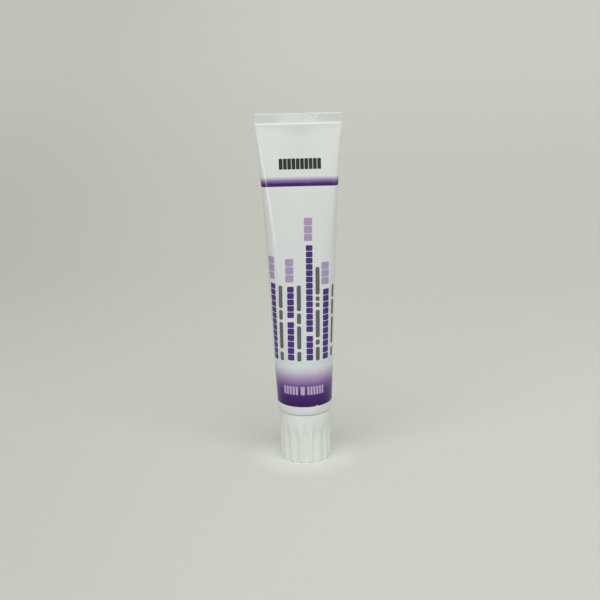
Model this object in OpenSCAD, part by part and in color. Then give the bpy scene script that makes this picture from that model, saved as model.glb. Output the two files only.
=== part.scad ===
// Squeeze tube of paste, standing on its screw cap with the crimped end up.
// The sleeve is round at the cap and pressed flat at the crimp. Its girth is the same all the way up,
// because film doesn't stretch, so the tube grows wider to the eye as it grows thinner.
// X runs along the crimp, the front faces -Y, and Z is up from the face that the cap stands on.

/* [Sleeve] */
// Outside diameter of the round end of the sleeve
sleeve_d = 28; // [25:0.5:38]
// Height of the sleeve, from its lower edge to the top of the crimp
sleeve_h = 154.5; // [90:1:180]
// Thickness of the sleeve's film
film = 0.45; // [0.3:0.05:0.8]
// Height of the flat sealed band at the top
crimp_h = 4.7; // [3:0.1:9]
// How full the tube is: 0 tapers straight, more keeps the middle round
belly = 0.8; // [0:0.05:0.9]
// Height of the rounded lower edge of the sleeve
edge_h = 4.4; // [2:0.2:5]
// How far the lower edge turns in
edge_in = 0.9; // [0.3:0.1:1.6]
// Slot left between the two walls just under the crimp
seal_slot = 0.2; // [0.1:0.05:0.4]

/* [Head] */
// Height of the head's skirt inside the sleeve
skirt_h = 6.2; // [5.6:0.2:12]
// Thickness of the skirt and of the shoulder
head_wall = 1.1; // [0.8:0.1:1.8]
// Diameter of the neck without its thread
neck_d = 12.6; // [11:0.2:14]
// Length of the neck below the shoulder
neck_h = 15; // [10:0.5:17]
// Diameter of the bore inside the neck
neck_bore_d = 9; // [7:0.5:9.5]
// Diameter of the hole that the paste leaves by
orifice_d = 5.6; // [3:0.2:6]
// Thickness of the wall round that hole
mouth_wall = 1.6; // [1:0.1:2.5]

/* [Cap] */
// Height of the cap
cap_h = 26; // [21:0.1:32]
// Thickness of the cap's outer wall
cap_wall = 1.6; // [1.3:0.1:2]
// Thickness of the closed end that the tube stands on
cap_end = 1.4; // [1:0.1:2.5]
// How much narrower the closed end is than the rim, on the radius
cap_draft = 0.35; // [0:0.05:0.6]
// Radius of the edge round the closed end
foot_round = 0.6; // [0.2:0.1:1]
// Radius of the edge round the rim
rim_round = 0.3; // [0.1:0.1:0.6]
// Number of grip flutes
flutes = 16; // [8:2:20]
// Radius of the round tool that cuts each flute
flute_r = 3; // [2:0.25:5]
// Depth of each flute
flute_depth = 0.8; // [0.3:0.1:1]
// Height of the plain band between the rim and the flutes
plain_band = 4.2; // [2:0.2:6]
// Height over which each flute runs out to nothing
run_out = 7; // [2:0.2:9]
// Thickness of the threaded socket's wall
socket_wall = 1.2; // [0.9:0.1:1.4]
// Number of ribs between the socket and the outer wall
cap_ribs = 8; // [4:1:12]
// Thickness of each rib
rib_t = 0.9; // [0.6:0.1:1.4]
// How far the ribs stop below the rim
rib_drop = 8; // [3:0.5:12]
// Thickness of the ring that seals the mouth of the neck
seal_ring_t = 1.2; // [0.8:0.1:1.4]

/* [Clearances] */
// Gap between the rim of the cap and the sleeve
rim_gap = 0.25; // [0.2:0.05:0.8]
// Room round the neck for its thread and the socket's
thread_room = 1.1; // [0.8:0.1:1.3]
// Gap between the mouth of the neck and the sealing ring
seal_gap = 0.3; // [0.2:0.05:0.5]
// Gap between the head and the sleeve, where they are welded
weld_gap = 0.04; // [0.02:0.01:0.1]
// Gap between the paste and the walls that hold it
paste_gap = 0.05; // [0.02:0.01:0.2]
// Height left empty under the crimp
air_h = 14; // [3:0.5:20]

/* [Hidden] */

// Points round each section of the sleeve, levels in its rounded edge and up its tapered wall
around = 48;
edge_levels = 4;
wall_levels = 20;
revolve_fn = 96;
overlap = 0.2;
// How far above the skirt the sleeve stays round
above_skirt = 0.5;

sleeve_r = sleeve_d / 2;
edge_r = sleeve_r - edge_in;
sleeve_z = cap_h + rim_gap;
edge_z = sleeve_z + edge_h;
skirt_z = sleeve_z + skirt_h;
round_z = skirt_z + above_skirt;
top_z = sleeve_z + sleeve_h;
crimp_z = top_z - crimp_h;

neck_r = neck_d / 2;
mouth_z = sleeve_z - neck_h;
bore_r = neck_bore_d / 2;
orifice_r = orifice_d / 2;
mouth_chamfer = 0.5;
funnel_rise = 2.2;

foot_r = edge_r - cap_draft;
socket_in_r = neck_r + thread_room;
socket_out_r = socket_in_r + socket_wall;
seal_ring_r = (orifice_r + neck_r) / 2;
seal_ring_z = mouth_z - seal_gap;
cap_lean = atan(cap_draft / cap_h);
flute_top = cap_h - plain_band - run_out;

// Every section has a straight front and back joined by half rounds. end_r is the outer radius of the half
// rounds at height z, and flat is half the straight length that keeps the girth of the round tube.
function pressed(t) = t - belly * t * t * (1 - t);
function end_r(z) =
    z >= crimp_z ? film
    : z <= round_z ? sleeve_r
    : sleeve_r - (sleeve_r - film) * pressed((z - round_z) / (crimp_z - round_z));
function flat(z) = (sleeve_r - end_r(z)) * PI / 2;

// The lower edge turns in along a quarter of an ellipse.
function turn_in(z) = z >= edge_z ? 0 : edge_in * (1 - sqrt(max(0, 1 - pow((edge_z - z) / edge_h, 2))));

// Point k of a section, counted along the girth from the middle of the front
function quarter_point(v, half, r) =
    let (along = v * (half + r * PI / 2), turn = (along - half) / r * 180 / PI)
    along <= half ? [along, -r] : [half + r * sin(turn), -r * cos(turn)];
function section_point(k, half, r) =
    let (side = k <= around / 2 ? 1 : -1,
         step = side == 1 ? k : around - k,
         front = step <= around / 4 ? 1 : -1,
         v = (front == 1 ? step : around / 2 - step) / (around / 4),
         p = quarter_point(v, half, r))
    [side * p[0], front * p[1]];
function ring(z, inset, least_r) =
    [for (k = [0 : around - 1])
        let (p = section_point(k, flat(z), max(end_r(z) - inset - turn_in(z), least_r))) [p[0], p[1], z]];

// Heights of the rings from the lower edge, or from the top of the skirt, to the crimp
edge_heights = [for (i = [0 : edge_levels]) sleeve_z + edge_h * (1 - cos(90 * i / edge_levels))];
function wall_heights(to_z) = [for (i = [0 : wall_levels]) round_z + (to_z - round_z) * i / wall_levels];

// Faces of stacked rings, seen from outside or from inside, and of the flat ends
function wall_faces(first, count, outside) =
    [for (i = [0 : count - 2], k = [0 : around - 1])
        let (a = first + i * around + k, b = first + i * around + (k + 1) % around,
             c = b + around, d = a + around)
        each outside ? [[a, d, c], [a, c, b]] : [[a, c, d], [a, b, c]]];
// A flat end is strips that run from the front of the section to its back.
function end_faces(first, up) =
    [for (j = [-around / 4 : around / 4 - 1])
        let (a = first + (j + around) % around, b = first + (j + 1 + around) % around,
             c = first + around / 2 - j - 1, d = first + around / 2 - j,
             left = a == d ? [] : [[a, d, c]], right = b == c ? [] : [[a, c, b]])
        for (t = concat(left, right)) up ? t : [t[2], t[1], t[0]]];
function hem_faces(outer, inner) =
    [for (k = [0 : around - 1])
        let (a = outer + k, b = outer + (k + 1) % around, c = inner + (k + 1) % around, d = inner + k)
        each [[a, b, c], [a, c, d]]];

// Rolled film with its end crimped shut, hollow down to the head
module tube_sleeve() {
    skin_z = concat(edge_heights, wall_heights(crimp_z), [top_z]);
    hollow_z = concat(edge_heights, wall_heights(crimp_z));
    skin = [for (z = skin_z) each ring(z, 0, film)];
    hollow = [for (z = hollow_z) each ring(z, film, seal_slot / 2)];
    inner = len(skin);
    color("#dfe3de")
        polyhedron(
            points = concat(skin, hollow),
            faces = concat(
                wall_faces(0, len(skin_z), true),
                end_faces(inner - around, true),
                wall_faces(inner, len(hollow_z), false),
                end_faces(inner + len(hollow) - around, false),
                hem_faces(0, inner)));
}

// Radius inside the sleeve's flat-sided sections, at height z of its round end
function weld_r(z) = (sleeve_r - film - turn_in(z)) * cos(180 / around) - weld_gap;

// Moulded shoulder, skirt and neck, welded in the lower end of the sleeve
module tube_head() {
    lip = [for (z = edge_heights) [weld_r(z), z]];
    skirt_in = weld_r(skirt_z) - head_wall;
    color("#eef0ec")
        rotate_extrude($fn = revolve_fn)
            polygon(concat(
                lip,
                [[weld_r(skirt_z), skirt_z],
                 [skirt_in, skirt_z],
                 [skirt_in, sleeve_z + head_wall + funnel_rise],
                 [bore_r, sleeve_z + head_wall],
                 [bore_r, mouth_z + mouth_wall],
                 [orifice_r, mouth_z + mouth_wall],
                 [orifice_r, mouth_z],
                 [neck_r - mouth_chamfer, mouth_z],
                 [neck_r, mouth_z + mouth_chamfer],
                 [neck_r, sleeve_z]]));
}

// Paste that fills the sleeve, the head and the neck
module paste_fill() {
    fill_z = concat([skirt_z + paste_gap], wall_heights(crimp_z - air_h));
    fill = [for (z = fill_z) each ring(z, film + paste_gap, seal_slot / 2)];
    skirt_in = weld_r(skirt_z) - head_wall - paste_gap;
    funnel_z = sleeve_z + head_wall + paste_gap;
    color("#c9b3cf") {
        polyhedron(
            points = fill,
            faces = concat(
                wall_faces(0, len(fill_z), true),
                end_faces(len(fill) - around, true),
                end_faces(0, false)));
        rotate_extrude($fn = revolve_fn)
            polygon([
                [0, skirt_z + overlap],
                [skirt_in, skirt_z + overlap],
                [skirt_in, funnel_z + funnel_rise],
                [bore_r - paste_gap, funnel_z],
                [bore_r - paste_gap, mouth_z + mouth_wall + paste_gap],
                [orifice_r - paste_gap, mouth_z + mouth_wall + paste_gap],
                [orifice_r - paste_gap, mouth_z],
                [0, mouth_z]]);
    }
}

// Outside of the cap before its flutes, with both edges rounded
module cap_blank() {
    foot_arc = [for (i = [0 : 4]) let (a = 90 * i / 4)
        [foot_r - foot_round * (1 - sin(a)), foot_round * (1 - cos(a))]];
    rim_arc = [for (i = [0 : 4]) let (a = 90 * i / 4)
        [edge_r - rim_round * (1 - cos(a)), cap_h - rim_round * (1 - sin(a))]];
    rotate_extrude($fn = revolve_fn)
        polygon(concat([[0, 0]], foot_arc, rim_arc, [[0, cap_h]]));
}

// One concave flute, a round groove that fades out below the plain band
module flute() {
    translate([foot_r - flute_depth + flute_r, 0, 0])
        rotate([0, cap_lean, 0]) {
            translate([0, 0, -foot_round])
                cylinder(r = flute_r, h = flute_top + foot_round, $fn = revolve_fn);
            translate([0, 0, flute_top])
                cylinder(r1 = flute_r, r2 = flute_r - flute_depth, h = run_out, $fn = revolve_fn);
        }
}

// Space inside the outer wall, above the closed end
module cap_hollow() {
    translate([0, 0, cap_end])
        cylinder(r1 = foot_r - cap_wall, r2 = edge_r - cap_wall,
                 h = cap_h - cap_end + overlap, $fn = revolve_fn);
}

module tube_wall(r_out, r_in, z_low, z_high) {
    difference() {
        translate([0, 0, z_low])
            cylinder(r = r_out, h = z_high - z_low, $fn = revolve_fn);
        translate([0, 0, cap_end])
            cylinder(r = r_in, h = z_high, $fn = revolve_fn);
    }
}

// Fluted cap with its threaded socket, sealing ring and stiffening ribs
module screw_cap() {
    root_z = cap_end / 2;
    rib_reach = foot_r - cap_wall / 2;
    color("#e4e7e3") {
        difference() {
            cap_blank();
            cap_hollow();
            for (i = [0 : flutes - 1])
                rotate([0, 0, i * 360 / flutes - 90])
                    flute();
        }
        tube_wall(socket_out_r, socket_in_r, root_z, cap_h);
        tube_wall(seal_ring_r + seal_ring_t / 2, seal_ring_r - seal_ring_t / 2, root_z, seal_ring_z);
        for (i = [0 : cap_ribs - 1])
            rotate([0, 0, (i + 0.5) * 360 / cap_ribs])
                translate([socket_out_r - overlap, -rib_t / 2, root_z])
                    cube([rib_reach - socket_out_r + overlap, rib_t, cap_h - rib_drop - root_z]);
    }
}

tube_sleeve();
tube_head();
paste_fill();
screw_cap();
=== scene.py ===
# %% [markdown]
# # A squeeze tube of polishing paste, standing on its screw cap
# The tube is a sleeve of printed film, round at the cap and crimped flat at the top. The solids come from
# the CAD model, and this lesson dresses them: it presses a finer sleeve from a round tube with Geometry
# Nodes, winds the threads that the CAD leaves plain, and gives every piece the finish of its real material.
# The CAD frame is loaded first, because every piece is made to its sizes and moves with its bodies.

# %% Load the frame
import math

import bmesh
import bpy
from mathutils import Matrix, Vector


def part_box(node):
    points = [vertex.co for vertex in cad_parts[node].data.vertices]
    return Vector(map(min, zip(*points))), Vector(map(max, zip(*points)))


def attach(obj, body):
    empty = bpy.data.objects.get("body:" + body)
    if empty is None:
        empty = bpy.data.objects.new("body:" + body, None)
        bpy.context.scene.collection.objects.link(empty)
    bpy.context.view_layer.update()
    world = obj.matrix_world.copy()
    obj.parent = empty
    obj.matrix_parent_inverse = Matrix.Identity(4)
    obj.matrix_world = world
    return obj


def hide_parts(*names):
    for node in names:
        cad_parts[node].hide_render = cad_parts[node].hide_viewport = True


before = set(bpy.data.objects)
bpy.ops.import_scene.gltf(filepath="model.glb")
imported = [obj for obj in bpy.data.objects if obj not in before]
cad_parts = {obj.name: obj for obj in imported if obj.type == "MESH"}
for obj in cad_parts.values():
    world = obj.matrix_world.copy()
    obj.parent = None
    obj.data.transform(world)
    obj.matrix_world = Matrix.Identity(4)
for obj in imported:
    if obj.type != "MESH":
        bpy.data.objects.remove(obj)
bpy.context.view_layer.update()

# %% [markdown]
# ## Sizes
# Lengths are written in millimetres, as on a drawing, and turned to metres once. What the CAD already knows
# is measured from its nodes, so the dressed tube follows the solids. The rest is how the film was formed:
# its thickness, its rounded lower edge, the height of the crimp, and how full the belly below it stays.

# %% Sizes measured from the solids, and the few that only the film has
MM = 0.001
sleeve_low, sleeve_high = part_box("tube_sleeve")
head_low, head_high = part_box("tube_head")

sleeve_r = sleeve_high.y
film = 0.45 * MM
edge_h = 4.4 * MM
edge_in = 0.9 * MM
crimp_h = 4.7 * MM
belly = 0.8
sleeve_z = sleeve_low.z
top_z = sleeve_high.z
sleeve_h = top_z - sleeve_z
crimp_z = top_z - crimp_h
round_z = head_high.z + 0.5 * MM
girth = 2 * math.pi * sleeve_r
sleeve_sizes = {"radius": sleeve_r, "height": sleeve_h, "girth": girth}
print("sleeve in mm", {name: round(size / MM, 2) for name, size in sleeve_sizes.items()})

# %% [markdown]
# ## Small helpers
# Hex colours are what a screen shows, while a shader wants linear light, so one function turns them. Another
# adds a node with its settings and links, so that each tree below reads as a list of steps. Many steps are
# ramps that start and end gently, and that setting has a name of its own.

# %% Colour and node helpers
soft = {"interpolation_type": "SMOOTHSTEP"}


def linear(hex_colour):
    """Linear RGBA of an sRGB hex colour."""
    parts = [int(hex_colour[i:i + 2], 16) / 255 for i in (1, 3, 5)]
    return [c / 12.92 if c <= 0.04045 else ((c + 0.055) / 1.055) ** 2.4 for c in parts] + [1.0]


def add_node(tree, kind, *values, named=None, **settings):
    """Adds a node. Each value fills a socket: a number, a socket, or a node, whose first output is linked."""
    node = tree.nodes.new(kind)
    for name, value in settings.items():
        setattr(node, name, value)
    for key, value in list(enumerate(values)) + list((named or {}).items()):
        if isinstance(value, bpy.types.Node):
            value = value.outputs[0]
        if isinstance(value, bpy.types.NodeSocket):
            tree.links.new(value, node.inputs[key])
        else:
            node.inputs[key].default_value = value
    return node


print("a mid grey in linear light", [round(c, 3) for c in linear("#808080")])

# %% [markdown]
# ## The sleeve as it comes off the machine
# Before it is filled, a real sleeve is a plain round tube of film, printed flat and rolled. It could be
# modelled flat-sided at once, but making it round first means that the print lies on it just as on the real
# sheet: the map called sheet runs once round the girth and once up the height. The mesh is one closed wall,
# with an outer and an inner skin, and 6 points across each of the 96 ribs that the crimping jaws leave. Its
# rows lie closer together at the rounded lower edge and towards the crimp, where the shape changes most.

# %% Choose the rows of points up the sleeve
crimp_ribs = 96
around = 6 * crimp_ribs
edge_steps = 8
wall_steps = 26
bead_reach = 8 * MM


def edge_inset(z):
    """How far the rounded lower edge turns in at height z."""
    if z >= sleeve_z + edge_h:
        return 0
    return edge_in * (1 - math.sqrt(max(0, 1 - ((sleeve_z + edge_h - z) / edge_h) ** 2)))


edge_turns = [math.radians(90 * i / edge_steps) for i in range(edge_steps + 1)]
edge_z = [sleeve_z + edge_h * (1 - math.cos(turn)) for turn in edge_turns]
wall_z = [round_z + (crimp_z - bead_reach - round_z) * i / wall_steps for i in range(wall_steps + 1)]
bead_z = [crimp_z - d * MM for d in (7, 6, 5, 4, 3.2, 2.5, 1.9, 1.4, 1, 0.7, 0.45, 0.22, 0)]
crimp_rows = [crimp_z + d * MM for d in (0.25, 0.5, 0.8, 2.4, 4.1, 4.4)] + [top_z - 0.1 * MM, top_z]
outer = [(sleeve_r - edge_inset(z), z) for z in edge_z + wall_z + bead_z + crimp_rows]
inner = [(sleeve_r - film - edge_inset(z), z) for z in edge_z[::2] + wall_z[::2] + bead_z[::3]]
profile = [(sleeve_r - film, top_z)] + outer[::-1] + inner
print(len(outer), "rows outside and", len(inner), "inside, with", around, "points in each")

# %% Roll the round sleeve
corners = []
for radius, z in profile:
    for k in range(around):
        a = 2 * math.pi * k / around - math.pi
        corners.append((radius * math.sin(a), -radius * math.cos(a), z))
faces = []
for row in range(len(profile) - 1):
    for k in range(around):
        here = row * around
        after = (k + 1) % around
        faces.append((here + k, here + around + k, here + around + after, here + after))

sleeve_mesh = bpy.data.meshes.new("printed_sleeve")
sleeve_mesh.from_pydata(corners, [], faces)
sheet = sleeve_mesh.uv_layers.new(name="sheet")
for face in sleeve_mesh.polygons:
    k = face.index % around
    columns = (k, k, k + 1, k + 1)
    for loop, column in zip(face.loop_indices, columns):
        z = corners[sleeve_mesh.loops[loop].vertex_index][2]
        sheet.data[loop].uv = (column / around, (z - sleeve_z) / sleeve_h)
round_sleeve = bpy.data.objects.new("printed_sleeve", sleeve_mesh)
bpy.context.scene.collection.objects.link(round_sleeve)
print("round sleeve:", len(profile), "rows of", around, "points,", 2 * len(faces), "triangles")

# %% [markdown]
# ## Press it flat
# Film bends but doesn't stretch, so every level keeps its girth. Pressed between jaws, a round section turns
# into two straight sides joined by half rounds, and the half rounds shrink to the film's own thickness at
# the crimp. It could be shaped by hand, but it is a rule, so Geometry Nodes apply it: each point keeps its
# share of the girth and its depth in the wall. The tree's inputs are the sizes, so it fits any such tube.

# %% Start the pressing tree and name its sizes
press = bpy.data.node_groups.new("press_sleeve_flat", "GeometryNodeTree")
press.interface.new_socket("Geometry", in_out="OUTPUT", socket_type="NodeSocketGeometry")
press.interface.new_socket("Geometry", in_out="INPUT", socket_type="NodeSocketGeometry")
press_sizes = {
    "Radius": sleeve_r,
    "Film": film,
    "Round below": round_z,
    "Crimp above": crimp_z,
    "Top": top_z,
    "Belly": belly,
    "Ribs round the girth": float(crimp_ribs),
    "Rib depth": 0.13 * MM,
    "Bead": 0.32 * MM,
    "Hollow": 0.8 * MM,
}
for name in press_sizes:
    press.interface.new_socket(name, in_out="INPUT", socket_type="NodeSocketFloat")
press.interface.new_socket("Finish", in_out="INPUT", socket_type="NodeSocketMaterial")

given = add_node(press, "NodeGroupInput").outputs
radius_in = given["Radius"]
film_in = given["Film"]
crimp_in = given["Crimp above"]
place = add_node(press, "ShaderNodeSeparateXYZ", add_node(press, "GeometryNodeInputPosition"))
flat_place = add_node(press, "ShaderNodeCombineXYZ", place.outputs["X"], place.outputs["Y"])
reach = add_node(press, "ShaderNodeVectorMath", flat_place, operation="LENGTH").outputs["Value"]
height = place.outputs["Z"]
back = add_node(press, "ShaderNodeMath", place.outputs["Y"], -1.0, operation="MULTIPLY")
angle = add_node(press, "ShaderNodeMath", place.outputs["X"], back, operation="ARCTAN2")
print("the pressing tree has", len(press_sizes), "sizes and a finish")

# %% [markdown]
# ### How far each level is pressed
# A full tube stays round for a while above its head, swells at the belly, and only then runs flat. So the
# pressing rises from 0 to 1 up the sleeve with a little taken off on the way. It shrinks the outer half
# round from the tube's radius to the film, and what the half rounds lose, the straight sides gain.

# %% The radius of the half rounds, and the length of the straight sides
rise = add_node(press, "ShaderNodeMapRange", height, given["Round below"], crimp_in, 0.0, 1.0)
square = add_node(press, "ShaderNodeMath", rise, rise, operation="MULTIPLY")
left = add_node(press, "ShaderNodeMath", 1.0, rise, operation="SUBTRACT")
swell = add_node(press, "ShaderNodeMath", square, left, operation="MULTIPLY")
swell = add_node(press, "ShaderNodeMath", swell, given["Belly"], operation="MULTIPLY")
pressed = add_node(press, "ShaderNodeMath", rise, swell, operation="SUBTRACT")
travel = add_node(press, "ShaderNodeMath", radius_in, film_in, operation="SUBTRACT")
shrink = add_node(press, "ShaderNodeMath", travel, pressed, operation="MULTIPLY")
end_r = add_node(press, "ShaderNodeMath", radius_in, shrink, operation="SUBTRACT")
straight = add_node(press, "ShaderNodeMath", shrink, math.pi / 2, operation="MULTIPLY")
depth = add_node(press, "ShaderNodeMath", radius_in, reach, operation="SUBTRACT")
own_r = add_node(press, "ShaderNodeMath", end_r, depth, operation="SUBTRACT")
print("nodes so far:", len(press.nodes))

# %% Where the point lies along its quarter of the girth, which never changes
turned = add_node(press, "ShaderNodeMath", angle, operation="ABSOLUTE")
turned = add_node(press, "ShaderNodeMath", turned, math.pi / 2, operation="DIVIDE")
turned = add_node(press, "ShaderNodeMath", turned, 1.0, operation="SUBTRACT")
off_side = add_node(press, "ShaderNodeMath", turned, operation="ABSOLUTE")
share = add_node(press, "ShaderNodeMath", 1.0, off_side, operation="SUBTRACT")
quarter = add_node(press, "ShaderNodeMath", radius_in, math.pi / 2, operation="MULTIPLY")
along = add_node(press, "ShaderNodeMath", share, quarter, operation="MULTIPLY")
past = add_node(press, "ShaderNodeMath", along, straight, operation="SUBTRACT")
past = add_node(press, "ShaderNodeMath", past, 0.0, operation="MAXIMUM")
turn = add_node(press, "ShaderNodeMath", past, end_r, operation="DIVIDE")
on_flat = add_node(press, "ShaderNodeMath", along, straight, operation="MINIMUM")
turn_sin = add_node(press, "ShaderNodeMath", turn, operation="SINE")
turn_cos = add_node(press, "ShaderNodeMath", turn, operation="COSINE")
print("nodes so far:", len(press.nodes))

# %% [markdown]
# ### What the jaws leave
# The jaws print upright ribs on the crimp's outer skin. Right below them the hot film swells over into a
# small bead, which fades towards both ends of the crimp, and the middle of both faces is drawn in, where the
# full body meets the flat seam. Each is a depth that fades out with soft ramps, so that nothing has a step.

# %% Ribs on the outer skin of the crimp
phase = add_node(press, "ShaderNodeMath", angle, given["Ribs round the girth"], operation="MULTIPLY")
wave = add_node(press, "ShaderNodeMath", phase, operation="COSINE")
wave = add_node(press, "ShaderNodeMapRange", wave, 1.0, -1.0, 0.0, given["Rib depth"])
rib_start = add_node(press, "ShaderNodeMath", crimp_in, 0.3 * MM, operation="ADD")
rib_full = add_node(press, "ShaderNodeMath", crimp_in, 0.8 * MM, operation="ADD")
rib_end = add_node(press, "ShaderNodeMath", given["Top"], 0.3 * MM, operation="SUBTRACT")
ribbed = add_node(press, "ShaderNodeMapRange", height, rib_start, rib_full, 0.0, 1.0)
unribbed = add_node(press, "ShaderNodeMapRange", height, rib_end, given["Top"], 1.0, 0.0)
skin = add_node(press, "ShaderNodeMapRange", depth, 0.0, film_in, 1.0, 0.0)
rib = add_node(press, "ShaderNodeMath", wave, ribbed, operation="MULTIPLY")
rib = add_node(press, "ShaderNodeMath", rib, unribbed, operation="MULTIPLY")
rib = add_node(press, "ShaderNodeMath", rib, skin, operation="MULTIPLY")
print("nodes so far:", len(press.nodes))

# %% The bead below the crimp
bead_top = 0.5 * MM
bead_foot = 3 * MM
below = add_node(press, "ShaderNodeMath", crimp_in, height, operation="SUBTRACT")
bead_up = add_node(press, "ShaderNodeMapRange", below, 0.0, bead_top, 0.0, 1.0, **soft)
bead_down = add_node(press, "ShaderNodeMapRange", below, bead_top, bead_foot, 1.0, 0.0, **soft)
bead = add_node(press, "ShaderNodeMath", bead_up, bead_down, operation="MULTIPLY")
bead = add_node(press, "ShaderNodeMath", bead, given["Bead"], operation="MULTIPLY")
bead_side = add_node(press, "ShaderNodeMapRange", on_flat, 14 * MM, 30 * MM, 1.0, 0.5, **soft)
bead = add_node(press, "ShaderNodeMath", bead, bead_side, operation="MULTIPLY")
print("nodes so far:", len(press.nodes))

# %% The hollow in the middle of each face
hollow_deepest = 7 * MM
hollow_foot = 14 * MM
hollow_up = add_node(press, "ShaderNodeMapRange", below, 0.4 * MM, hollow_deepest, 0.0, 1.0, **soft)
hollow_down = add_node(press, "ShaderNodeMapRange", below, hollow_deepest, hollow_foot, 1.0, 0.0, **soft)
hollow_wide = add_node(press, "ShaderNodeMapRange", below, 0.0, hollow_foot, 18 * MM, 6 * MM)
hollow_side = add_node(press, "ShaderNodeMapRange", on_flat, 0.0, hollow_wide, 1.0, 0.0, **soft)
hollow = add_node(press, "ShaderNodeMath", hollow_up, hollow_down, operation="MULTIPLY")
hollow = add_node(press, "ShaderNodeMath", hollow, hollow_side, operation="MULTIPLY")
hollow = add_node(press, "ShaderNodeMath", hollow, given["Hollow"], operation="MULTIPLY")
print("nodes so far:", len(press.nodes))

# %% [markdown]
# ### Each point's new place
# The half round's own radius gives the way out to the side, and the worked face gives the way to the front
# or the back. At the two ends of the flat the points of both skins would meet, so close ones are merged. The
# tree ends with Realize Instances and Set Material, because the export drops instances.

# %% Move the points and finish the tree
side_x = add_node(press, "ShaderNodeMath", own_r, turn_sin, operation="MULTIPLY")
side_x = add_node(press, "ShaderNodeMath", side_x, on_flat, operation="ADD")
face_y = add_node(press, "ShaderNodeMath", own_r, bead, operation="ADD")
face_y = add_node(press, "ShaderNodeMath", face_y, hollow, operation="SUBTRACT")
face_y = add_node(press, "ShaderNodeMath", face_y, rib, operation="SUBTRACT")
face_y = add_node(press, "ShaderNodeMath", face_y, turn_cos, operation="MULTIPLY")
right = add_node(press, "ShaderNodeMath", angle, operation="SIGN")
rear = add_node(press, "ShaderNodeMath", turned, operation="SIGN")
new_x = add_node(press, "ShaderNodeMath", side_x, right, operation="MULTIPLY")
new_y = add_node(press, "ShaderNodeMath", face_y, rear, operation="MULTIPLY")
new_place = add_node(press, "ShaderNodeCombineXYZ", new_x, new_y, height)
moved = add_node(press, "GeometryNodeSetPosition", given["Geometry"], named={"Position": new_place})
closed = add_node(press, "GeometryNodeMergeByDistance", moved, named={"Distance": 0.003 * MM})
real = add_node(press, "GeometryNodeRealizeInstances", closed)
finished = add_node(press, "GeometryNodeSetMaterial", real, named={"Material": given["Finish"]})
add_node(press, "NodeGroupOutput", finished)
print("the pressing tree has", len(press.nodes), "nodes")

# %% [markdown]
# ## The film and its print
# The sleeve is a laminate of white polyethylene film, printed flat and varnished, so it has a soft gloss: the
# studio lights show as long streaks with a blurred edge, and the ink is as glossy as the film. The print
# could be a picture, but plain fields and bars drawn from the sheet map stay sharp at any size. Heights in it
# are millimetres above the sleeve's lower edge, and the other way is millimetres of girth from the front. The
# columns lean by a degree, as on a sheet that was rolled a little askew, so they have a measure of their own.
# Two more measures tell how far a point is from a crease at the side and from the middle of its face.

# %% Start the film's material with its measures
printed_film = bpy.data.materials.new("varnished_printed_film")
printed_film.use_nodes = True
ink = printed_film.node_tree
ink.nodes.clear()
girth_total = girth / MM
height_total = sleeve_h / MM
sheet_map = add_node(ink, "ShaderNodeUVMap", uv_map="sheet")
sheet_place = add_node(ink, "ShaderNodeSeparateXYZ", sheet_map)
from_front = add_node(ink, "ShaderNodeMath", sheet_place.outputs["X"], 0.5, operation="SUBTRACT")
girth_mm = add_node(ink, "ShaderNodeMath", from_front, girth_total, operation="MULTIPLY")
height_mm = add_node(ink, "ShaderNodeMath", sheet_place.outputs["Y"], height_total, operation="MULTIPLY")
lean = add_node(ink, "ShaderNodeMath", height_mm, 60.0, operation="SUBTRACT")
lean = add_node(ink, "ShaderNodeMath", lean, 0.016, operation="MULTIPLY")
column_mm = add_node(ink, "ShaderNodeMath", girth_mm, lean, operation="SUBTRACT")
object_place = add_node(ink, "ShaderNodeTexCoord").outputs["Object"]

from_side = add_node(ink, "ShaderNodeMath", girth_mm, operation="ABSOLUTE")
from_side = add_node(ink, "ShaderNodeMath", from_side, girth_total / 4, operation="SUBTRACT")
from_side = add_node(ink, "ShaderNodeMath", from_side, operation="ABSOLUTE")
from_middle = add_node(ink, "ShaderNodeMath", girth_total / 4, from_side, operation="SUBTRACT")
print("the sheet is", round(girth_total, 1), "by", round(height_total, 1), "mm")

# %% [markdown]
# ### The bare film
# White film over pale paste looks a little blue where the tube is full, and warmer and lighter towards the
# crimp, where there is only film. A ramp up the height gives that, with a wide noise that blurs it. The
# noise's clouds are about 22 mm wide, as the swellings of a filled tube are.

# %% Tint the film by its height
film_white = "#C8CFD2"
haze = add_node(ink, "ShaderNodeTexNoise", object_place, named={"Scale": 1 / (22.22 * MM), "Detail": 3.0})
haze = add_node(ink, "ShaderNodeMapRange", haze.outputs[0], 0.3, 0.7, -3.0, 3.0)
backed = add_node(ink, "ShaderNodeMath", height_mm, haze, operation="ADD")
backed = add_node(ink, "ShaderNodeMapRange", backed, 20.0, 150.0, 0.0, 1.0)
film_tint = add_node(ink, "ShaderNodeValToRGB", backed)
film_tint.color_ramp.elements[0].color = linear(film_white)
film_tint.color_ramp.elements.new(0.5).color = linear("#CFD3D3")
film_tint.color_ramp.elements.new(0.7).color = linear("#D0D4D2")
film_tint.color_ramp.elements[3].position = 0.88
film_tint.color_ramp.elements[3].color = linear("#D6DAD6")
print("the film goes from", film_white, "at its foot to a warmer white below the crimp")
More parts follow.
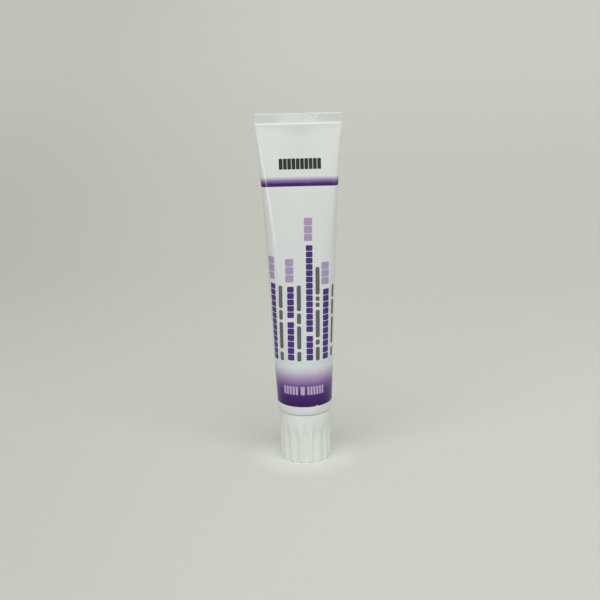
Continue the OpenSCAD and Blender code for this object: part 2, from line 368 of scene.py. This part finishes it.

# %% [markdown]
# ### The crimp and the film's two edges
# The seal of the crimp is a little greyer. Its middle has a painted sparkle: paler specks of about a
# millimetre and a quarter, painted in as glints of light. The film is cut above the crimp, and the cut is
# paler than its skin. Below the lower band it stays unprinted, as a narrow hem.

# %% Tint the crimp, paint its sparkle, and tint the cut and the hem
crimp_mm = (crimp_z - sleeve_z) / MM
hem_mm = 4.95
at_crimp = add_node(ink, "ShaderNodeMapRange", height_mm, crimp_mm - 0.1, crimp_mm + 0.3, 0.0, 1.0)
# Painted sparkle: pale specks painted into the middle of the crimp as glints of light.
painted_sparkle = add_node(ink, "ShaderNodeTexNoise", object_place, named={"Scale": 1 / (1.25 * MM), "Detail": 1.0})
painted_sparkle = add_node(ink, "ShaderNodeMapRange", painted_sparkle.outputs[0], 0.35, 0.65, 0.4, 0.95)
in_middle = add_node(ink, "ShaderNodeMapRange", from_middle, 6.0, 13.0, 1.0, 0.0, **soft)
painted_sparkle = add_node(ink, "ShaderNodeMath", painted_sparkle, in_middle, operation="MULTIPLY")
painted_sparkle = add_node(ink, "ShaderNodeMath", painted_sparkle, at_crimp, operation="MULTIPLY")
at_cut = add_node(ink, "ShaderNodeMapRange", height_mm, height_total - 0.6, height_total - 0.4, 0.0, 1.0)
bare = add_node(ink, "ShaderNodeMapRange", height_mm, hem_mm - 0.1, hem_mm + 0.1, 1.0, 0.0)

paint = film_tint
for where, colour in [(at_crimp, "#CBCECC"), (painted_sparkle, "#DCDFDB"), (at_cut, "#E2E5E0"), (bare, "#D0D5D5")]:
    mixed = {0: where, 6: paint, 7: linear(colour)}
    paint = add_node(ink, "ShaderNodeMix", data_type="RGBA", named=mixed).outputs[2]
print("the crimp starts at", round(crimp_mm, 1), "mm and the hem ends at", hem_mm, "mm")

# %% [markdown]
# ### Two violet bands
# One narrow band crosses the upper part and one broad band the lower. Each is a screen print that starts at a
# sharp lower edge and fades out upwards, so a colour ramp along the height draws it, cut off below that edge.
# Near both creases the film of the upper band is pulled down a little, so the band sags there by 0.7 mm.

# %% Print the two bands
bands = {
    "lower": (4.98, 25.6, [(0.0, "#2A0A47"), (0.2, "#391060"), (0.42, "#4F2A75"), (0.58, "#775A92"),
                           (0.74, "#A08EAF"), (0.9, "#C0BBC6"), (1.0, film_white)]),
    "upper": (118.65, 123.45, [(0.0, "#2F0D4F"), (0.3, "#45206A"), (0.6, "#836D9B"), (0.84, "#B9B0C2"),
                             (1.0, film_white)]),
}
sag = add_node(ink, "ShaderNodeMapRange", from_side, 0.0, 8.0, 0.7, 0.0, **soft)
sagging_mm = add_node(ink, "ShaderNodeMath", height_mm, sag, operation="ADD")
for name, (low, high, steps) in bands.items():
    print_mm = height_mm if name == "lower" else sagging_mm
    share_up = add_node(ink, "ShaderNodeMapRange", print_mm, low, high, 0.0, 1.0)
    ramp = add_node(ink, "ShaderNodeValToRGB", share_up)
    while len(ramp.color_ramp.elements) < len(steps):
        ramp.color_ramp.elements.new(1.0)
    for stop, (position, colour) in zip(ramp.color_ramp.elements, steps):
        stop.position = position
        stop.color = linear(colour)
    above_edge = add_node(ink, "ShaderNodeMapRange", print_mm, low - 0.08, low + 0.08, 0.0, 1.0)
    below_top = add_node(ink, "ShaderNodeMapRange", print_mm, high - 0.02, high, 1.0, 0.0)
    inside = add_node(ink, "ShaderNodeMath", above_edge, below_top, operation="MULTIPLY")
    mixed = {0: inside, 6: paint, 7: ramp}
    paint = add_node(ink, "ShaderNodeMix", data_type="RGBA", named=mixed).outputs[2]
    print(name, "band from", low, "to", high, "mm")

# %% [markdown]
# ### Blocks and bars
# Between the bands stand four columns of violet blocks, each ending in three mauve ones, with a line of
# narrow grey bars beside each. They could be one image, but one function prints a row of equal blocks: the
# place along the row is counted in blocks, and only its fraction is used, so one block repeats. The bars are
# of unequal length, so another function holds a whole line of them in one ramp. Both round the corners
# alike: a point inside a corner is inked where its two measures, squared and added, stay below 1.

# %% Two measures that both kinds of row need
def rounded(lengthwise, crosswise, colour):
    """Mixes in a shape with round corners. Both measures are 0 at its corner's centre and 1 at its edge."""
    squares = []
    for way in (lengthwise, crosswise):
        outward = add_node(ink, "ShaderNodeMath", way, 0.0, operation="MAXIMUM")
        squares.append(add_node(ink, "ShaderNodeMath", outward, 2.0, operation="POWER"))
    from_corner = add_node(ink, "ShaderNodeMath", *squares, operation="ADD")
    inked = add_node(ink, "ShaderNodeMapRange", from_corner, 0.85, 1.0, 1.0, 0.0)
    mixed = {0: inked, 6: paint, 7: linear(colour)}
    return add_node(ink, "ShaderNodeMix", data_type="RGBA", named=mixed).outputs[2]


def across_bar(crosswise, centre, width, corner):
    """Measure across a bar, from its middle line."""
    aside = add_node(ink, "ShaderNodeMath", crosswise, centre, operation="SUBTRACT")
    aside = add_node(ink, "ShaderNodeMath", aside, operation="ABSOLUTE")
    return add_node(ink, "ShaderNodeMapRange", aside, width / 2 - corner, width / 2, 0.0, 1.0, clamp=False)


print("the corners' last tenth or so is softened, as ink that has spread a little")

# %% Print a row of blocks, and print a line of bars
block_corner = 0.2
bar_corner = 0.38
far_outside = 9.0


def print_blocks(colour, lengthwise, crosswise, centre, width, low, high, count, gap):
    """Prints a row of equal rounded blocks between two places along the line, all in mm."""
    pitch = (high - low + gap) / count
    block = pitch - gap
    corner = min(width, block) * block_corner
    start = add_node(ink, "ShaderNodeMath", lengthwise, low - gap / 2, operation="SUBTRACT")
    steps = add_node(ink, "ShaderNodeMath", start, pitch, operation="DIVIDE")
    within = add_node(ink, "ShaderNodeMath", steps, operation="FRACT")
    within = add_node(ink, "ShaderNodeMath", within, 0.5, operation="SUBTRACT")
    within = add_node(ink, "ShaderNodeMath", within, operation="ABSOLUTE")
    edges = ((block / 2 - corner) / pitch, block / 2 / pitch)
    in_block = add_node(ink, "ShaderNodeMapRange", within, *edges, 0.0, 1.0, clamp=False)
    middle = add_node(ink, "ShaderNodeMath", steps, count / 2, operation="SUBTRACT")
    middle = add_node(ink, "ShaderNodeMath", middle, operation="ABSOLUTE")
    outside = add_node(ink, "ShaderNodeMath", middle, count / 2, operation="GREATER_THAN")
    outside = add_node(ink, "ShaderNodeMath", outside, far_outside, operation="MULTIPLY")
    lengthwise = add_node(ink, "ShaderNodeMath", in_block, outside, operation="MAXIMUM")
    return rounded(lengthwise, across_bar(crosswise, centre, width, corner), colour)


def print_bars(colour, lengthwise, crosswise, centre, width, spans):
    """Prints unequal bars on one line. Spans are (from, to) in mm along it, and one ramp holds them all."""
    corner = bar_corner * width
    first = spans[0][0] - 1
    last = spans[-1][1] + 1
    share_up = add_node(ink, "ShaderNodeMapRange", lengthwise, first, last, 0.0, 1.0)
    ramp = add_node(ink, "ShaderNodeValToRGB", share_up)
    stops = []
    for low, high in spans:
        stops += [(low, 0), (low + corner, 1), (high - corner, 1), (high, 0)]
    while len(ramp.color_ramp.elements) < len(stops):
        ramp.color_ramp.elements.new(1.0)
    for stop, (place_mm, value) in zip(ramp.color_ramp.elements, stops):
        stop.position = (place_mm - first) / (last - first)
        stop.color = (value, value, value, 1)
    from_bar = add_node(ink, "ShaderNodeMath", 1.0, ramp, operation="SUBTRACT")
    return rounded(from_bar, across_bar(crosswise, centre, width, corner), colour)


print("blocks have corners of", block_corner, "and bars of", bar_corner, "of their width")

# %% Print the four columns of blocks
violet = "#462970"
mauve = "#A08FB1"
columns = [
    (-15.9, 3.8, [(28.7, 69.2, 13)], (71.4, 83.2)),
    (-6.0, 3.4, [(29.6, 49.8, 6), (51.8, 68.1, 5)], (70.2, 82.3)),
    (3.5, 3.4, [(29.5, 42.4, 4), (44.4, 89.1, 14)], (91.1, 102.9)),
    (12.1, 3.5, [(29.4, 66.3, 11)], (68.6, 80.2)),
]
for centre, width, rows, (pale_low, pale_high) in columns:
    for low, high, count in rows:
        paint = print_blocks(violet, height_mm, column_mm, centre, width, low, high, count, 0.18)
    paint = print_blocks(mauve, height_mm, column_mm, centre - 0.5, 4.2, pale_low, pale_high, 3, 0.2)
print(len(columns), "columns of blocks")

# %% Print the four lines of narrow bars
bar_grey = "#5C5B5F"
bar_width = 2.15
lines = [
    (-11.1, [(29.0, 33.6), (35.4, 49.4), (50.6, 55.8), (56.8, 68.6)]),
    (-1.8, [(29.1, 34.2), (35.5, 47.5), (48.6, 54.2), (55.3, 68.6)]),
    (7.6, [(29.2, 36.4), (37.5, 40.3), (41.4, 55.8), (57.2, 59.6), (60.4, 62.7), (63.7, 77.9)]),
    (16.9, [(29.6, 34.6), (36.4, 50.4), (51.6, 59.8), (60.8, 67.4)]),
]
for centre, spans in lines:
    paint = print_bars(bar_grey, height_mm, column_mm, centre, bar_width, spans)
print(len(lines), "lines of narrow bars")

# %% [markdown]
# ### Two rows across, and a bare dot
# A dark row stands above the upper band, and a pale one in the lower band. They run along the girth, so the
# same function prints them with its two measures changed over. At the lower band's edge a small oval spot
# of film stayed bare, as where a grain of dust lay under the ink.

# %% Print the rows across and leave the dot bare
paint = print_blocks("#2C302E", girth_mm, height_mm, 129.75, 5.4, -10.1, 10.8, 10, 0.22)
for low, high, count in [(-11.2, -3.4, 5), (-2.0, 0.1, 1), (1.4, 10.2, 6)]:
    paint = print_blocks("#AE9EBF", girth_mm, height_mm, 13.6, 4.4, low, high, count, 0.5)
dot_x = add_node(ink, "ShaderNodeMath", girth_mm, 6.4, operation="SUBTRACT")
dot_x = add_node(ink, "ShaderNodeMath", dot_x, 0.6, operation="MULTIPLY")
dot_y = add_node(ink, "ShaderNodeMath", height_mm, 5.18, operation="SUBTRACT")
dot_at = add_node(ink, "ShaderNodeCombineXYZ", dot_x, dot_y)
dot_far = add_node(ink, "ShaderNodeVectorMath", dot_at, operation="LENGTH").outputs["Value"]
dot = add_node(ink, "ShaderNodeMapRange", dot_far, 0.2, 0.42, 1.0, 0.0)
mixed = {0: dot, 6: paint, 7: linear(film_white)}
paint = add_node(ink, "ShaderNodeMix", data_type="RGBA", named=mixed).outputs[2]
print("a dark row above the upper band, a pale one in the lower band, and one bare dot")

# %% [markdown]
# ### The film's surface
# Varnished film is smooth, but a filled tube is never quite even, and it shows in the gloss. A V-shaped dent
# runs down from the hollow below the crimp. It is drawn by a bump, because the paste fills the room behind
# the film there. Swellings about 14 mm wide bend the streaks of light. A fine noise gives the orange peel of
# the varnish, which is really some tenths of a millimetre wide: it is drawn 1.1 mm coarse, so that it shows.
# The crimp was squeezed between hot jaws, which leaves it duller, so its roughness is higher.

# %% The dent that runs down from the crimp
dent_depth = 2.2 * MM
dent_deepest = 21.0
dent_foot = 46.0
below_crimp = add_node(ink, "ShaderNodeMath", crimp_mm, height_mm, operation="SUBTRACT")
dent_in = add_node(ink, "ShaderNodeMapRange", below_crimp, 1.5, dent_deepest, 0.0, 1.0, **soft)
dent_out = add_node(ink, "ShaderNodeMapRange", below_crimp, dent_deepest, dent_foot, 1.0, 0.0, **soft)
dent_half = add_node(ink, "ShaderNodeMapRange", below_crimp, 0.0, 40.0, 20.0, 4.0)
dent_side = add_node(ink, "ShaderNodeMapRange", from_middle, 0.0, dent_half, -1.0, 0.0, **soft)
dent = add_node(ink, "ShaderNodeMath", dent_in, dent_out, operation="MULTIPLY")
dent = add_node(ink, "ShaderNodeMath", dent, dent_side, operation="MULTIPLY")
drawn_in = add_node(ink, "ShaderNodeBump", named={"Strength": 1.0, "Distance": dent_depth, "Height": dent})
print("the dent is deepest", dent_deepest, "mm below the crimp")

# %% Finish the film's material
film_gloss = 0.22
crimp_gloss = 0.36
wave_size = 14.29 * MM
peel_size = 1.111 * MM
swellings = add_node(ink, "ShaderNodeTexNoise", object_place, named={"Scale": 1 / wave_size, "Detail": 1.0})
peel = add_node(ink, "ShaderNodeTexNoise", object_place, named={"Scale": 1 / peel_size, "Detail": 2.0})
wide = add_node(ink, "ShaderNodeBump", named={
    "Strength": 0.25, "Distance": 0.6 * MM, "Height": swellings.outputs[0], "Normal": drawn_in.outputs[0]})
fine = add_node(ink, "ShaderNodeBump", named={
    "Strength": 0.12, "Distance": 0.05 * MM, "Height": peel.outputs[0], "Normal": wide.outputs[0]})
dull = add_node(ink, "ShaderNodeMapRange", at_crimp, 0.0, 1.0, film_gloss, crimp_gloss)
gloss = add_node(ink, "ShaderNodeBsdfPrincipled", named={
    "Base Color": paint, "Roughness": dull, "IOR": 1.5, "Specular IOR Level": 0.3, "Normal": fine.outputs[0]})
add_node(ink, "ShaderNodeOutputMaterial", gloss)
print("the film's material has", len(ink.nodes), "nodes")

# %% [markdown]
# ## Press the sleeve
# The modifier gets its sizes and the finish, and its result becomes a plain mesh, because the frame and the
# export want meshes without live modifiers. Two small functions do that and test that a mesh is closed, and
# the threads use them again. Then the sleeve takes the place of the CAD's sleeve and rides with the tube.

# %% Give the modifier its sizes
presser = round_sleeve.modifiers.new("press_flat", "NODES")
presser.node_group = press
for item in press.interface.items_tree:
    if item.in_out == "INPUT" and item.name in press_sizes:
        presser[item.identifier] = press_sizes[item.name]
    if item.in_out == "INPUT" and item.name == "Finish":
        presser[item.identifier] = printed_film
bpy.context.view_layer.update()
print("the sleeve is pressed from", round(2 * sleeve_r / MM, 1), "mm to", round(2 * film / MM, 1), "mm")


# %% Make a piece plain, and test that it is closed
def plain_copy(piece):
    """Turns a piece's evaluated shape into its own plain mesh, without modifiers."""
    ready = piece.evaluated_get(bpy.context.evaluated_depsgraph_get())
    mesh = bpy.data.meshes.new_from_object(ready)
    mesh.name = piece.name
    piece.modifiers.clear()
    piece.data = mesh
    for face in mesh.polygons:
        face.use_smooth = True


def check_closed(piece):
    """Prints the size of a mesh and whether it is closed, and turns its faces outwards if they aren't."""
    form = bmesh.new()
    form.from_mesh(piece.data)
    open_edges = sum(1 for edge in form.edges if len(edge.link_faces) != 2)
    volume = form.calc_volume(signed=True)
    if volume < 0:
        bmesh.ops.reverse_faces(form, faces=form.faces)
        form.to_mesh(piece.data)
    print(piece.name, len(form.faces), "faces,", open_edges, "open edges,", round(volume / MM ** 3), "mm3")
    form.free()


plain_copy(round_sleeve)
check_closed(round_sleeve)
round_sleeve.data.set_sharp_from_angle(angle=math.radians(50))
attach(round_sleeve, "tube")
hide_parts("tube_sleeve")

# %% [markdown]
# ## Threads on the neck and in the cap
# The CAD keeps the neck and the socket plain, so that the cap slides off in the motion check. The real ones
# have a coarse moulded thread, seen when the tube is lifted off. A thread follows a path, so one Geometry
# Nodes tree makes both: a round ridge swept along a helix, which fades out at its two ends. Half a turn apart
# in height, the two threads lie between each other without touching.

# %% Build the thread tree
thread = bpy.data.node_groups.new("moulded_thread", "GeometryNodeTree")
thread.interface.new_socket("Geometry", in_out="OUTPUT", socket_type="NodeSocketGeometry")
for name in ("Core radius", "Low end", "Length", "Turns", "Ridge radius"):
    thread.interface.new_socket(name, in_out="INPUT", socket_type="NodeSocketFloat")
thread.interface.new_socket("Finish", in_out="INPUT", socket_type="NodeSocketMaterial")
wanted = add_node(thread, "NodeGroupInput").outputs
helix = add_node(thread, "GeometryNodeCurveSpiral", named={
    "Resolution": 72, "Rotations": wanted["Turns"], "Start Radius": wanted["Core radius"],
    "End Radius": wanted["Core radius"], "Height": wanted["Length"]})
how_far = add_node(thread, "GeometryNodeSplineParameter").outputs["Factor"]
lead_in = add_node(thread, "ShaderNodeMapRange", how_far, 0.0, 0.07, 0.05, 1.0, **soft)
lead_out = add_node(thread, "ShaderNodeMapRange", how_far, 0.93, 1.0, 1.0, 0.05, **soft)
fade = add_node(thread, "ShaderNodeMath", lead_in, lead_out, operation="MULTIPLY")
faded = add_node(thread, "GeometryNodeSetCurveRadius", helix, named={"Radius": fade})
section = add_node(thread, "GeometryNodeCurvePrimitiveCircle", mode="RADIUS", named={
    "Resolution": 10, "Radius": wanted["Ridge radius"]})
ridge = add_node(thread, "GeometryNodeCurveToMesh", faded, section, named={"Fill Caps": True})
if "Scale" in ridge.inputs:
    thread.links.new(fade.outputs[0], ridge.inputs["Scale"])
lift = add_node(thread, "ShaderNodeCombineXYZ", 0.0, 0.0, wanted["Low end"])
lifted = add_node(thread, "GeometryNodeTransform", ridge, named={"Translation": lift})
as_mesh = add_node(thread, "GeometryNodeRealizeInstances", lifted)
coated = add_node(thread, "GeometryNodeSetMaterial", as_mesh, named={"Material": wanted["Finish"]})
add_node(thread, "NodeGroupOutput", coated)
print("the thread tree has", len(thread.nodes), "nodes")

# %% [markdown]
# ## Plastics and paste
# The cap is injection-moulded polypropylene with a satin, faintly grained skin, which gives wide and dim
# highlights. The head is natural polyethylene, a little translucent and waxy, so light goes into it. The
# paste is glycerine and pumice: soft, wet and gritty. One function makes such a moulded finish from its
# colours, its grain and its roughness, with faint clouds about 11 mm wide from uneven colour in the melt.
# The real grain of both plastics is finer than the render shows, so it is drawn 0.5 and 0.8 mm coarse. The
# grit of the paste is drawn 0.35 mm coarse.

# %% A function for moulded finishes
def moulded(name, base, shade, roughness, grain_mm, relief_mm, ior, glow):
    """A plastic with clouds of a second shade, fine grain, and a little light scattered below its skin."""
    finish = bpy.data.materials.new(name)
    finish.use_nodes = True
    tree = finish.node_tree
    tree.nodes.clear()
    place_in = add_node(tree, "ShaderNodeTexCoord").outputs["Object"]
    clouds = add_node(tree, "ShaderNodeTexNoise", place_in, named={"Scale": 1 / (11.11 * MM), "Detail": 3.0})
    tint = add_node(tree, "ShaderNodeValToRGB", clouds)
    for stop, position, colour in zip(tint.color_ramp.elements, (0.35, 0.65), (shade, base)):
        stop.position = position
        stop.color = linear(colour)
    grain_size = grain_mm * MM
    grain = add_node(tree, "ShaderNodeTexNoise", place_in, named={"Scale": 1 / grain_size, "Detail": 2.0})
    relief = add_node(tree, "ShaderNodeBump", named={
        "Strength": 0.5, "Distance": relief_mm * MM, "Height": grain.outputs[0]})
    spread = (roughness - 0.04, roughness + 0.04)
    worn = add_node(tree, "ShaderNodeMapRange", grain.outputs[0], 0.3, 0.7, *spread)
    body = add_node(tree, "ShaderNodeBsdfPrincipled", named={
        "Base Color": tint, "Roughness": worn, "IOR": ior, "Subsurface Weight": glow,
        "Subsurface Radius": (0.001, 0.001, 0.001), "Subsurface Scale": 1.0, "Normal": relief.outputs[0]})
    add_node(tree, "ShaderNodeOutputMaterial", body)
    print(name, "with grain of", grain_mm, "mm")
    return finish


satin_polypropylene = moulded(
    "satin_moulded_polypropylene", base="#D7DCD7", shade="#D2D7D2", roughness=0.42,
    grain_mm=0.5, relief_mm=0.03, ior=1.49, glow=0.0)
natural_polyethylene = moulded(
    "natural_moulded_polyethylene", base="#E2E4DF", shade="#DCDFDA", roughness=0.36,
    grain_mm=0.8, relief_mm=0.03, ior=1.51, glow=0.1)
gritty_paste = moulded(
    "gritty_polishing_paste", base="#CDB9D6", shade="#C2ABCD", roughness=0.3,
    grain_mm=0.35, relief_mm=0.12, ior=1.45, glow=0.2)

# %% Give the CAD nodes their finishes
finishes = {"screw_cap": satin_polypropylene, "tube_head": natural_polyethylene, "paste_fill": gritty_paste}
for node_name, finish in finishes.items():
    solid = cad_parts[node_name]
    for slot in solid.material_slots:
        slot.material = finish
    print(node_name, "wears", finish.name)

# %% [markdown]
# ## Wind both threads
# The thread on the neck is moulded with the head, and the one in the socket with the cap, so each takes that
# piece's finish and rides on its body. They share the pitch and the ridge, and differ in radius and start.

# %% Wind the thread on the neck and the one in the cap
thread_pitch = 3 * MM
thread_length = 10 * MM
ridge_r = 0.58 * MM
neck_core = 6.34 * MM
cap_core = 7.38 * MM
thread_low = head_low.z + 2.4 * MM
threads = {
    "neck_thread": ("tube", "head_plastic", neck_core, thread_low, natural_polyethylene),
    "cap_thread": ("cap", "cap_plastic", cap_core, thread_low + thread_pitch / 2, satin_polypropylene),
}
for name, (body, slot_name, core, low, finish) in threads.items():
    winding = bpy.data.objects.new(name, bpy.data.meshes.new(name))
    bpy.context.scene.collection.objects.link(winding)
    winder = winding.modifiers.new("wind", "NODES")
    winder.node_group = thread
    values = {"Core radius": core, "Low end": low, "Length": thread_length,
              "Turns": thread_length / thread_pitch, "Ridge radius": ridge_r, "Finish": finish}
    for item in thread.interface.items_tree:
        if item.in_out == "INPUT":
            winder[item.identifier] = values[item.name]
    bpy.context.view_layer.update()
    plain_copy(winding)
    check_closed(winding)
    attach(winding, body)

# %% [markdown]
# ## The studio floor
# The tube stands on a sheet of pale grey-green paper that runs on behind it without an edge. Paper is matt,
# with a fibre too fine to see, so it is drawn 2.5 mm coarse and very faint. Studio light is also painted into
# the paper's colour: painted shade on the left and behind, fading again far off, and a painted pool of light
# before the foot. They are on Object coordinates, so they stay in their places from any side.

# %% Floor and its paper
bpy.ops.mesh.primitive_circle_add(vertices=96, radius=4, fill_type="TRIFAN")
floor = bpy.context.object
floor.name = "studio_floor"
sweep = bpy.data.materials.new("matt_studio_paper")
sweep.use_nodes = True
paper = sweep.node_tree
paper.nodes.clear()
paper_place = add_node(paper, "ShaderNodeTexCoord").outputs["Object"]
paper_way = add_node(paper, "ShaderNodeSeparateXYZ", paper_place)
paper_x = paper_way.outputs["X"]
paper_y = paper_way.outputs["Y"]
fibre = add_node(paper, "ShaderNodeTexNoise", paper_place, named={"Scale": 1 / (2.5 * MM), "Detail": 2.0})
fibre_tint = add_node(paper, "ShaderNodeValToRGB", fibre)
fibre_tint.color_ramp.elements[0].color = linear("#CBCCC5")
fibre_tint.color_ramp.elements[1].color = linear("#CECFC8")
print("floor 8 m across")

# %% Painted shade and a painted pool of light on the paper, in metres from the foot
# Painted shade: the paper is made darker on the left and behind the tube, and less so far off.
left_side = add_node(paper, "ShaderNodeMapRange", paper_x, -0.25, 0.05, 0.5, 0.0, **soft)
behind = add_node(paper, "ShaderNodeMapRange", paper_y, 0.0, 0.35, 0.0, 0.45, **soft)
far_off = add_node(paper, "ShaderNodeMapRange", paper_y, 0.4, 1.1, 0.0, 0.3, **soft)
shade = add_node(paper, "ShaderNodeMath", left_side, behind, operation="ADD")
shade = add_node(paper, "ShaderNodeMath", shade, far_off, operation="SUBTRACT")
from_foot = add_node(paper, "ShaderNodeVectorMath", paper_place, operation="LENGTH").outputs["Value"]
# A painted pool of light: the paper is made paler just before the foot.
painted_light_pool = add_node(paper, "ShaderNodeMapRange", from_foot, 0.016, 0.034, 1.0, 0.0, **soft)
in_front = add_node(paper, "ShaderNodeMapRange", paper_y, 0.008, 0.022, 0.4, 0.0, **soft)
painted_light_pool = add_node(paper, "ShaderNodeMath", painted_light_pool, in_front, operation="MULTIPLY")
toned = fibre_tint
for where, colour in [(shade, "#B4B5AB"), (painted_light_pool, "#E2E4DA")]:
    mixed = {0: where, 6: toned, 7: linear(colour)}
    toned = add_node(paper, "ShaderNodeMix", data_type="RGBA", named=mixed).outputs[2]
paper_skin = add_node(paper, "ShaderNodeBsdfPrincipled", named={
    "Base Color": toned, "Roughness": 0.85, "Specular IOR Level": 0.2})
add_node(paper, "ShaderNodeOutputMaterial", paper_skin)
floor.data.materials.append(sweep)
print("the paper's material has", len(paper.nodes), "nodes")

# %% [markdown]
# ## Lamps and world
# Two wide soft suns from above, left and right of the camera, light the tube, with their shadows behind it,
# and the pale world fills in, so that a colour renders about as it is written. Three narrow panels near the
# tube show only in gloss. They make the streaks of light along the creases and under the crimp, as the
# bright edges of a light tent do. They stand low: a camera that looks down sees what lies low mirrored in an
# upright wall.

# %% Panels that show only in gloss
def soft_panel(name, place_at, aim, width, tall, power):
    """A white rectangular lamp that faces a point and shows only in gloss."""
    lamp = bpy.data.lights.new(name, "AREA")
    lamp.shape = "RECTANGLE"
    lamp.size = width
    lamp.size_y = tall
    lamp.energy = power
    holder = bpy.data.objects.new(name, lamp)
    holder.location = place_at
    holder.rotation_euler = (Vector(aim) - Vector(place_at)).to_track_quat("-Z", "Y").to_euler()
    holder.visible_diffuse = False
    bpy.context.scene.collection.objects.link(holder)
    print(name, "of", power, "W")


panel_away = 0.36
panel_z = 0.2
panel_tall = 0.34
for name, turn_to, width, power in [("left_panel", -47, 0.09, 0.8), ("right_panel", 62, 0.05, 0.22)]:
    facing = math.radians(turn_to)
    spot = (panel_away * math.sin(facing), -panel_away * math.cos(facing), panel_z)
    soft_panel(name, spot, (0, 0, panel_z), width, panel_tall, power)
soft_panel("top_panel", (0, -0.22, 0.8), (0, 0, 0.17), 0.08, 0.3, 0.8)

# %% Suns and world
sun_spread = math.radians(50)
sun_tilt = math.radians(44)
for name, turn_to, strength in [("left_sun", -31, 0.98), ("right_sun", 31, 0.96)]:
    sun = bpy.data.lights.new(name, "SUN")
    sun.energy = strength
    sun.angle = sun_spread
    sun_holder = bpy.data.objects.new(name, sun)
    sun_holder.rotation_euler = (sun_tilt, 0, math.radians(turn_to))
    bpy.context.scene.collection.objects.link(sun_holder)

world = bpy.data.worlds.new("pale_surround")
bpy.context.scene.world = world
world.use_nodes = True
sky = world.node_tree
sky.nodes.clear()
air = add_node(sky, "ShaderNodeBackground", linear("#FAFBF7"), 0.6)
add_node(sky, "ShaderNodeOutputWorld", air)
print("two suns and the world")

# %% [markdown]
# ## The camera
# The photograph looks down at the tube by about 18.6 degrees, through a long lens that keeps it in the middle
# of the frame. The tube leans left by about a degree and a half, so the camera is rolled by as much. It is
# aimed at the middle of the picture instead of being shifted, so that the other views are centred too.

# %% Camera
pitch = math.radians(18.6)
roll = math.radians(1.4)
distance = 1.0
aim = Vector((-1.22 * MM, 0, 84.06 * MM))
away = Vector((0, -math.cos(pitch), math.sin(pitch)))
upright = Vector((0, math.sin(pitch), math.cos(pitch)))
sideways = Vector((1, 0, 0))
up = upright * math.cos(roll) + sideways * math.sin(roll)
right_hand = sideways * math.cos(roll) - upright * math.sin(roll)
lens = bpy.data.cameras.new("camera")
lens.lens = 118.6
lens.sensor_width = 36
lens.clip_start = 0.05
lens.clip_end = 20
camera = bpy.data.objects.new("camera", lens)
turned_to = Matrix((right_hand, up, away)).transposed().to_4x4()
camera.matrix_world = Matrix.Translation(aim + away * distance) @ turned_to
bpy.context.scene.collection.objects.link(camera)
bpy.context.scene.camera = camera
bpy.context.scene.view_settings.view_transform = "Standard"
print("camera at", [round(c, 3) for c in camera.location])
